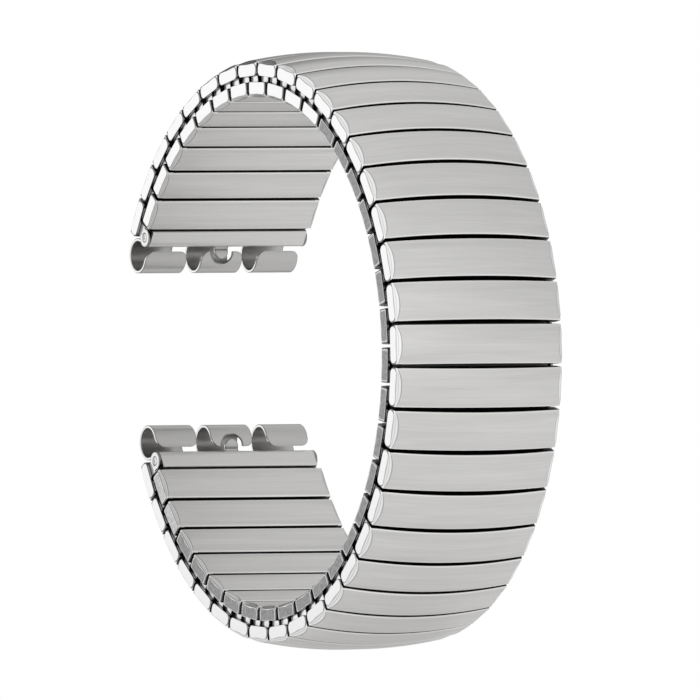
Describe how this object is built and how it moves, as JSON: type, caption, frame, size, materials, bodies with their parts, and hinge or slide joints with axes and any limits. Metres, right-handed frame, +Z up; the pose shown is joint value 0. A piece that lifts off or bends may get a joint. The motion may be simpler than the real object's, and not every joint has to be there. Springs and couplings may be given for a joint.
{
  "type": "expansion watch band",
  "caption": "Sprung two-row stretch band of brushed links, standing as an open loop, with a three-curl clip at each end for a watch case.",
  "frame": {"origin": "centre of the bounding box at its lowest face, on the surface that the loop stands on", "axes": "+Y across the band's width, +Z up, +X from the clips towards the middle link"},
  "size_m": [0.057, 0.018, 0.0577],
  "materials": {
    "link_steel": "fine brushing across the band, polished side flaps",
    "staple_steel": "bright bent sheet",
    "end_steel": "rolled sheet, brushed lengthwise",
    "pin_steel": "drawn wire",
    "clip_steel": "rolled sheet with polished cut edges"
  },
  "bodies": {
    "link_01": {"link_01": "link_steel", "upper_end_sleeve": "end_steel", "upper_hinge_pin": "pin_steel"},
    "link_02": {"link_02": "link_steel"},
    "link_03": {"link_03": "link_steel"},
    "link_04": {"link_04": "link_steel"},
    "link_05": {"link_05": "link_steel"},
    "link_06": {"link_06": "link_steel"},
    "link_07": {"link_07": "link_steel"},
    "link_08": {"link_08": "link_steel"},
    "link_09": {"link_09": "link_steel"},
    "link_10": {"link_10": "link_steel"},
    "link_11": {"link_11": "link_steel"},
    "link_12": {"link_12": "link_steel"},
    "link_13": {"link_13": "link_steel"},
    "link_14": {"link_14": "link_steel"},
    "link_15": {"link_15": "link_steel"},
    "link_16": {"link_16": "link_steel"},
    "link_17": {"link_17": "link_steel"},
    "link_18": {"link_18": "link_steel"},
    "link_19": {"link_19": "link_steel"},
    "link_20": {"link_20": "link_steel"},
    "link_21": {"link_21": "link_steel"},
    "link_22": {"link_22": "link_steel"},
    "link_23": {"link_23": "link_steel"},
    "link_24": {"link_24": "link_steel"},
    "link_25": {"link_25": "link_steel"},
    "link_26": {"link_26": "link_steel"},
    "link_27": {"link_27": "link_steel"},
    "link_28": {"link_28": "link_steel"},
    "link_29": {"link_29": "link_steel"},
    "link_30": {"link_30": "link_steel"},
    "link_31": {"link_31": "link_steel"},
    "link_32": {"link_32": "link_steel"},
    "link_33": {"link_33": "link_steel"},
    "link_34": {"link_34": "link_steel"},
    "link_35": {"link_35": "link_steel"},
    "link_36": {"link_36": "link_steel"},
    "link_37": {"link_37": "link_steel", "lower_end_sleeve": "end_steel", "lower_hinge_pin": "pin_steel"},
    "stretch_staples_03": {"stretch_staples_03": "staple_steel"},
    "stretch_staples_05": {"stretch_staples_05": "staple_steel"},
    "stretch_staples_07": {"stretch_staples_07": "staple_steel"},
    "stretch_staples_09": {"stretch_staples_09": "staple_steel"},
    "stretch_staples_11": {"stretch_staples_11": "staple_steel"},
    "stretch_staples_13": {"stretch_staples_13": "staple_steel"},
    "stretch_staples_15": {"stretch_staples_15": "staple_steel"},
    "stretch_staples_17": {"stretch_staples_17": "staple_steel"},
    "stretch_staples_20": {"stretch_staples_20": "staple_steel"},
    "stretch_staples_22": {"stretch_staples_22": "staple_steel"},
    "stretch_staples_24": {"stretch_staples_24": "staple_steel"},
    "stretch_staples_26": {"stretch_staples_26": "staple_steel"},
    "stretch_staples_28": {"stretch_staples_28": "staple_steel"},
    "stretch_staples_30": {"stretch_staples_30": "staple_steel"},
    "stretch_staples_32": {"stretch_staples_32": "staple_steel"},
    "stretch_staples_34": {"stretch_staples_34": "staple_steel"},
    "upper_ring_clip": {"upper_ring_clip": "clip_steel"},
    "lower_ring_clip": {"lower_ring_clip": "clip_steel"}
  },
  "joints": [
    {"name": "bend_19", "type": "hinge", "parent": "link_19", "child": "link_20", "pos_m": [0.02588, 0, 0.02752], "axis": [0, -1, 0], "range_deg": [-0.5, 8.5]},
    {"name": "stretch_20", "type": "slide", "parent": "link_20", "child": "stretch_staples_20", "axis": [-0.1833, 0, -0.9831], "range_m": [0, 0.0015], "stiffness_N_per_m": 600, "springref_m": -0.0015, "deforming": ["stretch_staples_20"]},
    {"name": "bend_20", "type": "hinge", "parent": "stretch_staples_20", "child": "link_21", "pos_m": [0.02546, 0, 0.02367], "axis": [0, -1, 0], "range_deg": [-0.5, 8.53]},
    {"name": "bend_21", "type": "hinge", "parent": "link_21", "child": "link_22", "pos_m": [0.02446, 0, 0.01992], "axis": [0, -1, 0], "range_deg": [-0.5, 8.56]},
    {"name": "stretch_22", "type": "slide", "parent": "link_22", "child": "stretch_staples_22", "axis": [-0.4645, 0, -0.8856], "range_m": [0, 0.0015], "stiffness_N_per_m": 600, "springref_m": -0.0015, "deforming": ["stretch_staples_22"]},
    {"name": "bend_22", "type": "hinge", "parent": "stretch_staples_22", "child": "link_23", "pos_m": [0.02292, 0, 0.01636], "axis": [0, -1, 0], "range_deg": [-0.5, 8.59]},
    {"name": "bend_23", "type": "hinge", "parent": "link_23", "child": "link_24", "pos_m": [0.02087, 0, 0.01306], "axis": [0, -1, 0], "range_deg": [-0.5, 8.62]},
    {"name": "stretch_24", "type": "slide", "parent": "link_24", "child": "stretch_staples_24", "axis": [-0.7061, 0, -0.7081], "range_m": [0, 0.0015], "stiffness_N_per_m": 600, "springref_m": -0.0015, "deforming": ["stretch_staples_24"]},
    {"name": "bend_24", "type": "hinge", "parent": "stretch_staples_24", "child": "link_25", "pos_m": [0.01834, 0, 0.01012], "axis": [0, -1, 0], "range_deg": [-0.5, 8.65]},
    {"name": "bend_25", "type": "hinge", "parent": "link_25", "child": "link_26", "pos_m": [0.0154, 0, 0.00759], "axis": [0, -1, 0], "range_deg": [-0.5, 8.68]},
    {"name": "stretch_26", "type": "slide", "parent": "link_26", "child": "stretch_staples_26", "axis": [-0.8853, 0, -0.465], "range_m": [0, 0.0015], "stiffness_N_per_m": 600, "springref_m": -0.0015, "deforming": ["stretch_staples_26"]},
    {"name": "bend_26", "type": "hinge", "parent": "stretch_staples_26", "child": "link_27", "pos_m": [0.01212, 0, 0.00553], "axis": [0, -1, 0], "range_deg": [-0.5, 8.72]},
    {"name": "bend_27", "type": "hinge", "parent": "link_27", "child": "link_28", "pos_m": [0.00855, 0, 0.00399], "axis": [0, -1, 0], "range_deg": [-0.5, 8.75]},
    {"name": "stretch_28", "type": "slide", "parent": "link_28", "child": "stretch_staples_28", "axis": [-0.9841, 0, -0.1774], "range_m": [0, 0.0015], "stiffness_N_per_m": 600, "springref_m": -0.0015, "deforming": ["stretch_staples_28"]},
    {"name": "bend_28", "type": "hinge", "parent": "stretch_staples_28", "child": "link_29", "pos_m": [0.0048, 0, 0.00301], "axis": [0, -1, 0], "range_deg": [-0.5, 8.78]},
    {"name": "bend_29", "type": "hinge", "parent": "link_29", "child": "link_30", "pos_m": [0.00094, 0, 0.00261], "axis": [0, -1, 0], "range_deg": [-0.5, 8.81]},
    {"name": "stretch_30", "type": "slide", "parent": "link_30", "child": "stretch_staples_30", "axis": [-0.9917, 0, 0.1288], "range_m": [0, 0.0015], "stiffness_N_per_m": 600, "springref_m": -0.0015, "deforming": ["stretch_staples_30"]},
    {"name": "bend_30", "type": "hinge", "parent": "stretch_staples_30", "child": "link_31", "pos_m": [-0.00293, 0, 0.00282], "axis": [0, -1, 0], "range_deg": [-0.5, 8.84]},
    {"name": "bend_31", "type": "hinge", "parent": "link_31", "child": "link_32", "pos_m": [-0.00673, 0, 0.00361], "axis": [0, -1, 0], "range_deg": [-0.5, 8.87]},
    {"name": "stretch_32", "type": "slide", "parent": "link_32", "child": "stretch_staples_32", "axis": [-0.9067, 0, 0.4218], "range_m": [0, 0.0015], "stiffness_N_per_m": 600, "springref_m": -0.0015, "deforming": ["stretch_staples_32"]},
    {"name": "bend_32", "type": "hinge", "parent": "stretch_staples_32", "child": "link_33", "pos_m": [-0.01036, 0, 0.00498], "axis": [0, -1, 0], "range_deg": [-0.5, 8.5]},
    {"name": "bend_33", "type": "hinge", "parent": "link_33", "child": "link_34", "pos_m": [-0.01375, 0, 0.00688], "axis": [0, -1, 0], "range_deg": [-0.5, 8.14]},
    {"name": "stretch_34", "type": "slide", "parent": "link_34", "child": "stretch_staples_34", "axis": [-0.7522, 0, 0.6589], "range_m": [0, 0.0015], "stiffness_N_per_m": 600, "springref_m": -0.0015, "deforming": ["stretch_staples_34"]},
    {"name": "bend_34", "type": "hinge", "parent": "stretch_staples_34", "child": "link_35", "pos_m": [-0.01683, 0, 0.00923], "axis": [0, -1, 0], "range_deg": [-0.5, 7.77]},
    {"name": "bend_35", "type": "hinge", "parent": "link_35", "child": "link_36", "pos_m": [-0.01957, 0, 0.01198], "axis": [0, -1, 0], "range_deg": [-0.5, 7.4]},
    {"name": "bend_36", "type": "hinge", "parent": "link_36", "child": "link_37", "pos_m": [-0.02193, 0, 0.01506], "axis": [0, -1, 0], "range_deg": [-0.5, 7.03]},
    {"name": "bend_18", "type": "hinge", "parent": "link_19", "child": "link_18", "pos_m": [0.02573, 0, 0.0314], "axis": [0, 1, 0], "range_deg": [-0.5, 8.46]},
    {"name": "stretch_17", "type": "slide", "parent": "link_18", "child": "stretch_staples_17", "axis": [-0.2568, 0, 0.9665], "range_m": [0, 0.0015], "stiffness_N_per_m": 600, "springref_m": -0.0015, "deforming": ["stretch_staples_17"]},
    {"name": "bend_17", "type": "hinge", "parent": "stretch_staples_17", "child": "link_17", "pos_m": [0.02501, 0, 0.03522], "axis": [0, 1, 0], "range_deg": [-0.5, 8.43]},
    {"name": "bend_16", "type": "hinge", "parent": "link_17", "child": "link_16", "pos_m": [0.02374, 0, 0.03888], "axis": [0, 1, 0], "range_deg": [-0.5, 8.4]},
    {"name": "stretch_15", "type": "slide", "parent": "link_16", "child": "stretch_staples_15", "axis": [-0.5252, 0, 0.851], "range_m": [0, 0.0015], "stiffness_N_per_m": 600, "springref_m": -0.0015, "deforming": ["stretch_staples_15"]},
    {"name": "bend_15", "type": "hinge", "parent": "stretch_staples_15", "child": "link_15", "pos_m": [0.02195, 0, 0.04232], "axis": [0, 1, 0], "range_deg": [-0.5, 8.37]},
    {"name": "bend_14", "type": "hinge", "parent": "link_15", "child": "link_14", "pos_m": [0.01968, 0, 0.04547], "axis": [0, 1, 0], "range_deg": [-0.5, 8.34]},
    {"name": "stretch_13", "type": "slide", "parent": "link_14", "child": "stretch_staples_13", "axis": [-0.7473, 0, 0.6644], "range_m": [0, 0.0015], "stiffness_N_per_m": 600, "springref_m": -0.0015, "deforming": ["stretch_staples_13"]},
    {"name": "bend_13", "type": "hinge", "parent": "stretch_staples_13", "child": "link_13", "pos_m": [0.01697, 0, 0.04825], "axis": [0, 1, 0], "range_deg": [-0.5, 8.31]},
    {"name": "bend_12", "type": "hinge", "parent": "link_13", "child": "link_12", "pos_m": [0.0139, 0, 0.05061], "axis": [0, 1, 0], "range_deg": [-0.5, 8.28]},
    {"name": "stretch_11", "type": "slide", "parent": "link_12", "child": "stretch_staples_11", "axis": [-0.9057, 0, 0.424], "range_m": [0, 0.0015], "stiffness_N_per_m": 600, "springref_m": -0.0015, "deforming": ["stretch_staples_11"]},
    {"name": "bend_11", "type": "hinge", "parent": "stretch_staples_11", "child": "link_11", "pos_m": [0.01051, 0, 0.0525], "axis": [0, 1, 0], "range_deg": [-0.5, 8.24]},
    {"name": "bend_10", "type": "hinge", "parent": "link_11", "child": "link_10", "pos_m": [0.00689, 0, 0.05389], "axis": [0, 1, 0], "range_deg": [-0.5, 8.21]},
    {"name": "stretch_09", "type": "slide", "parent": "link_10", "child": "stretch_staples_09", "axis": [-0.9886, 0, 0.1506], "range_m": [0, 0.0015], "stiffness_N_per_m": 600, "springref_m": -0.0015, "deforming": ["stretch_staples_09"]},
    {"name": "bend_09", "type": "hinge", "parent": "stretch_staples_09", "child": "link_09", "pos_m": [0.0031, 0, 0.05475], "axis": [0, 1, 0], "range_deg": [-0.5, 8.18]},
    {"name": "bend_08", "type": "hinge", "parent": "link_09", "child": "link_08", "pos_m": [-0.00077, 0, 0.05506], "axis": [0, 1, 0], "range_deg": [-0.5, 8.15]},
    {"name": "stretch_07", "type": "slide", "parent": "link_08", "child": "stretch_staples_07", "axis": [-0.9911, 0, -0.1329], "range_m": [0, 0.0015], "stiffness_N_per_m": 600, "springref_m": -0.0015, "deforming": ["stretch_staples_07"]},
    {"name": "bend_07", "type": "hinge", "parent": "stretch_staples_07", "child": "link_07", "pos_m": [-0.00464, 0, 0.05482], "axis": [0, 1, 0], "range_deg": [-0.5, 8.12]},
    {"name": "bend_06", "type": "hinge", "parent": "link_07", "child": "link_06", "pos_m": [-0.00844, 0, 0.05403], "axis": [0, 1, 0], "range_deg": [-0.5, 8.09]},
    {"name": "stretch_05", "type": "slide", "parent": "link_06", "child": "stretch_staples_05", "axis": [-0.9149, 0, -0.4037], "range_m": [0, 0.0015], "stiffness_N_per_m": 600, "springref_m": -0.0015, "deforming": ["stretch_staples_05"]},
    {"name": "bend_05", "type": "hinge", "parent": "stretch_staples_05", "child": "link_05", "pos_m": [-0.01209, 0, 0.05272], "axis": [0, 1, 0], "range_deg": [-0.5, 8.06]},
    {"name": "bend_04", "type": "hinge", "parent": "link_05", "child": "link_04", "pos_m": [-0.01552, 0, 0.0509], "axis": [0, 1, 0], "range_deg": [-0.5, 8.02]},
    {"name": "stretch_03", "type": "slide", "parent": "link_04", "child": "stretch_staples_03", "axis": [-0.7676, 0, -0.6409], "range_m": [0, 0.0015], "stiffness_N_per_m": 600, "springref_m": -0.0015, "deforming": ["stretch_staples_03"]},
    {"name": "bend_03", "type": "hinge", "parent": "stretch_staples_03", "child": "link_03", "pos_m": [-0.01866, 0, 0.04863], "axis": [0, 1, 0], "range_deg": [-0.5, 7.99]},
    {"name": "bend_02", "type": "hinge", "parent": "link_03", "child": "link_02", "pos_m": [-0.02146, 0, 0.04594], "axis": [0, 1, 0], "range_deg": [-0.5, 7.96]},
    {"name": "bend_01", "type": "hinge", "parent": "link_02", "child": "link_01", "pos_m": [-0.02386, 0, 0.04289], "axis": [0, 1, 0], "range_deg": [-0.5, 7.93]},
    {"name": "upper_clip_swivel", "type": "hinge", "parent": "link_01", "child": "upper_ring_clip", "pos_m": [-0.02468, 0, 0.03979], "axis": [0, 1, 0], "range_deg": [-17, 7]},
    {"name": "lower_clip_swivel", "type": "hinge", "parent": "link_37", "child": "lower_ring_clip", "pos_m": [-0.02277, 0, 0.01815], "axis": [0, -1, 0], "range_deg": [-17, 7]}
  ],
  "couplings": [
    {"joint": "stretch_22", "follows": "stretch_20", "ratio": 1},
    {"joint": "stretch_24", "follows": "stretch_20", "ratio": 1},
    {"joint": "stretch_26", "follows": "stretch_20", "ratio": 1},
    {"joint": "stretch_28", "follows": "stretch_20", "ratio": 1},
    {"joint": "stretch_30", "follows": "stretch_20", "ratio": 1},
    {"joint": "stretch_32", "follows": "stretch_20", "ratio": 1},
    {"joint": "stretch_34", "follows": "stretch_20", "ratio": 1},
    {"joint": "stretch_17", "follows": "stretch_20", "ratio": 1},
    {"joint": "stretch_15", "follows": "stretch_20", "ratio": 1},
    {"joint": "stretch_13", "follows": "stretch_20", "ratio": 1},
    {"joint": "stretch_11", "follows": "stretch_20", "ratio": 1},
    {"joint": "stretch_09", "follows": "stretch_20", "ratio": 1},
    {"joint": "stretch_07", "follows": "stretch_20", "ratio": 1},
    {"joint": "stretch_05", "follows": "stretch_20", "ratio": 1},
    {"joint": "stretch_03", "follows": "stretch_20", "ratio": 1}
  ]
}
